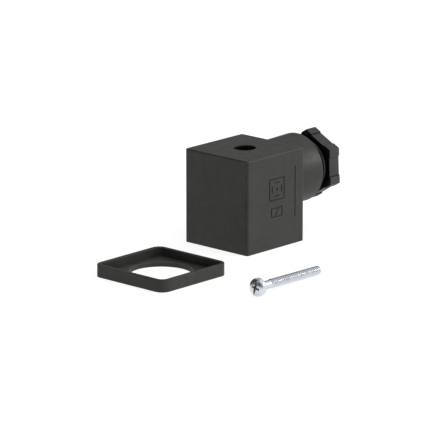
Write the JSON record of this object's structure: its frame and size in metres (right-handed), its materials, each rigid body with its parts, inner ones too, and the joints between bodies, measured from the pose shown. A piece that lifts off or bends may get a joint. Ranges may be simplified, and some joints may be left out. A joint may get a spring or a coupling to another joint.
{
  "type": "solenoid valve connector",
  "caption": "Square black cable socket for a solenoid valve coil, with a side cable gland, loose flat gasket and central fixing screw.",
  "frame": {"origin": "centre of the fixing screw hole on the mating face", "axes": "+Z along the fixing screw hole, away from the valve coil; +X out of the cable gland"},
  "size_m": [0.1013, 0.0656, 0.0326],
  "materials": {
    "housing_plastic": "moulded glass-filled nylon, fine matte texture",
    "carrier_plastic": "moulded nylon, slightly lighter than the housing",
    "nut_plastic": "moulded glass-filled nylon, rough",
    "washer_plastic": "plain moulded nylon",
    "seal_rubber": "soft rubber",
    "gasket_rubber": "smooth moulded rubber, matte",
    "tinned_brass": "tinned",
    "clamp_steel": "zinc plated",
    "terminal_steel": "zinc plated",
    "zinc_plated_steel": "bright zinc plating"
  },
  "bodies": {
    "contact_carrier": {"contact_carrier": "carrier_plastic", "contact_1": "tinned_brass", "contact_2": "tinned_brass", "contact_3": "tinned_brass", "contact_earth": "tinned_brass"},
    "housing": {"housing": "housing_plastic", "cable_grommet": "seal_rubber", "screw_seal_ring": "seal_rubber"},
    "pressure_washer": {"pressure_washer": "washer_plastic"},
    "gland_nut": {"gland_nut": "nut_plastic"},
    "wire_clamp_1": {"wire_clamp_1": "clamp_steel"},
    "terminal_screw_1": {"terminal_screw_1": "terminal_steel"},
    "wire_clamp_2": {"wire_clamp_2": "clamp_steel"},
    "terminal_screw_2": {"terminal_screw_2": "terminal_steel"},
    "wire_clamp_3": {"wire_clamp_3": "clamp_steel"},
    "terminal_screw_3": {"terminal_screw_3": "terminal_steel"},
    "wire_clamp_4": {"wire_clamp_4": "clamp_steel"},
    "terminal_screw_4": {"terminal_screw_4": "terminal_steel"},
    "gasket": {"gasket": "gasket_rubber"},
    "fixing_screw": {"fixing_screw": "zinc_plated_steel"}
  },
  "joints": [
    {"name": "housing_lift", "type": "slide", "parent": "contact_carrier", "child": "housing", "axis": [0, 0, 1], "range_m": [0, 0.034]},
    {"name": "gland_advance", "type": "slide", "parent": "housing", "child": "pressure_washer", "axis": [1, 0, 0], "range_m": [-0.002, 0.00564]},
    {"name": "gland_turn", "type": "hinge", "parent": "pressure_washer", "child": "gland_nut", "pos_m": [0.03, 0, 0.0206], "axis": [1, 0, 0], "range_deg": [-510.5, 1440.5]},
    {"name": "clamp_rise_1", "type": "slide", "parent": "contact_carrier", "child": "wire_clamp_1", "axis": [0, 0, 1], "range_m": [0, 0.0015]},
    {"name": "terminal_turn_1", "type": "hinge", "parent": "wire_clamp_1", "child": "terminal_screw_1", "pos_m": [0, 0.0079, 0.0142], "axis": [0, 0, 1], "range_deg": [0, 1080.5]},
    {"name": "clamp_rise_2", "type": "slide", "parent": "contact_carrier", "child": "wire_clamp_2", "axis": [0, 0, 1], "range_m": [0, 0.0015]},
    {"name": "terminal_turn_2", "type": "hinge", "parent": "wire_clamp_2", "child": "terminal_screw_2", "pos_m": [0, -0.0079, 0.0142], "axis": [0, 0, 1], "range_deg": [0, 1080.5]},
    {"name": "clamp_rise_3", "type": "slide", "parent": "contact_carrier", "child": "wire_clamp_3", "axis": [0, 0, 1], "range_m": [0, 0.0015]},
    {"name": "terminal_turn_3", "type": "hinge", "parent": "wire_clamp_3", "child": "terminal_screw_3", "pos_m": [-0.0079, 0, 0.0142], "axis": [0, 0, 1], "range_deg": [0, 1080.5]},
    {"name": "clamp_rise_4", "type": "slide", "parent": "contact_carrier", "child": "wire_clamp_4", "axis": [0, 0, 1], "range_m": [0, 0.0015]},
    {"name": "terminal_turn_4", "type": "hinge", "parent": "wire_clamp_4", "child": "terminal_screw_4", "pos_m": [0.0079, 0, 0.0142], "axis": [0, 0, 1], "range_deg": [0, 1080.5]},
    {"name": "gasket_lift", "type": "slide", "parent": "contact_carrier", "child": "gasket", "axis": [0, 0, 1], "range_m": [0, 0.03]},
    {"name": "fixing_screw_lift", "type": "slide", "parent": "contact_carrier", "child": "fixing_screw", "axis": [0, 0, 1], "range_m": [0, 0.03]}
  ],
  "couplings": [
    {"joint": "gland_turn", "follows": "gland_advance", "rad_per_m": 4453},
    {"joint": "terminal_turn_1", "follows": "clamp_rise_1", "rad_per_m": 12566},
    {"joint": "terminal_turn_2", "follows": "clamp_rise_2", "rad_per_m": 12566},
    {"joint": "terminal_turn_3", "follows": "clamp_rise_3", "rad_per_m": 12566},
    {"joint": "terminal_turn_4", "follows": "clamp_rise_4", "rad_per_m": 12566}
  ]
}
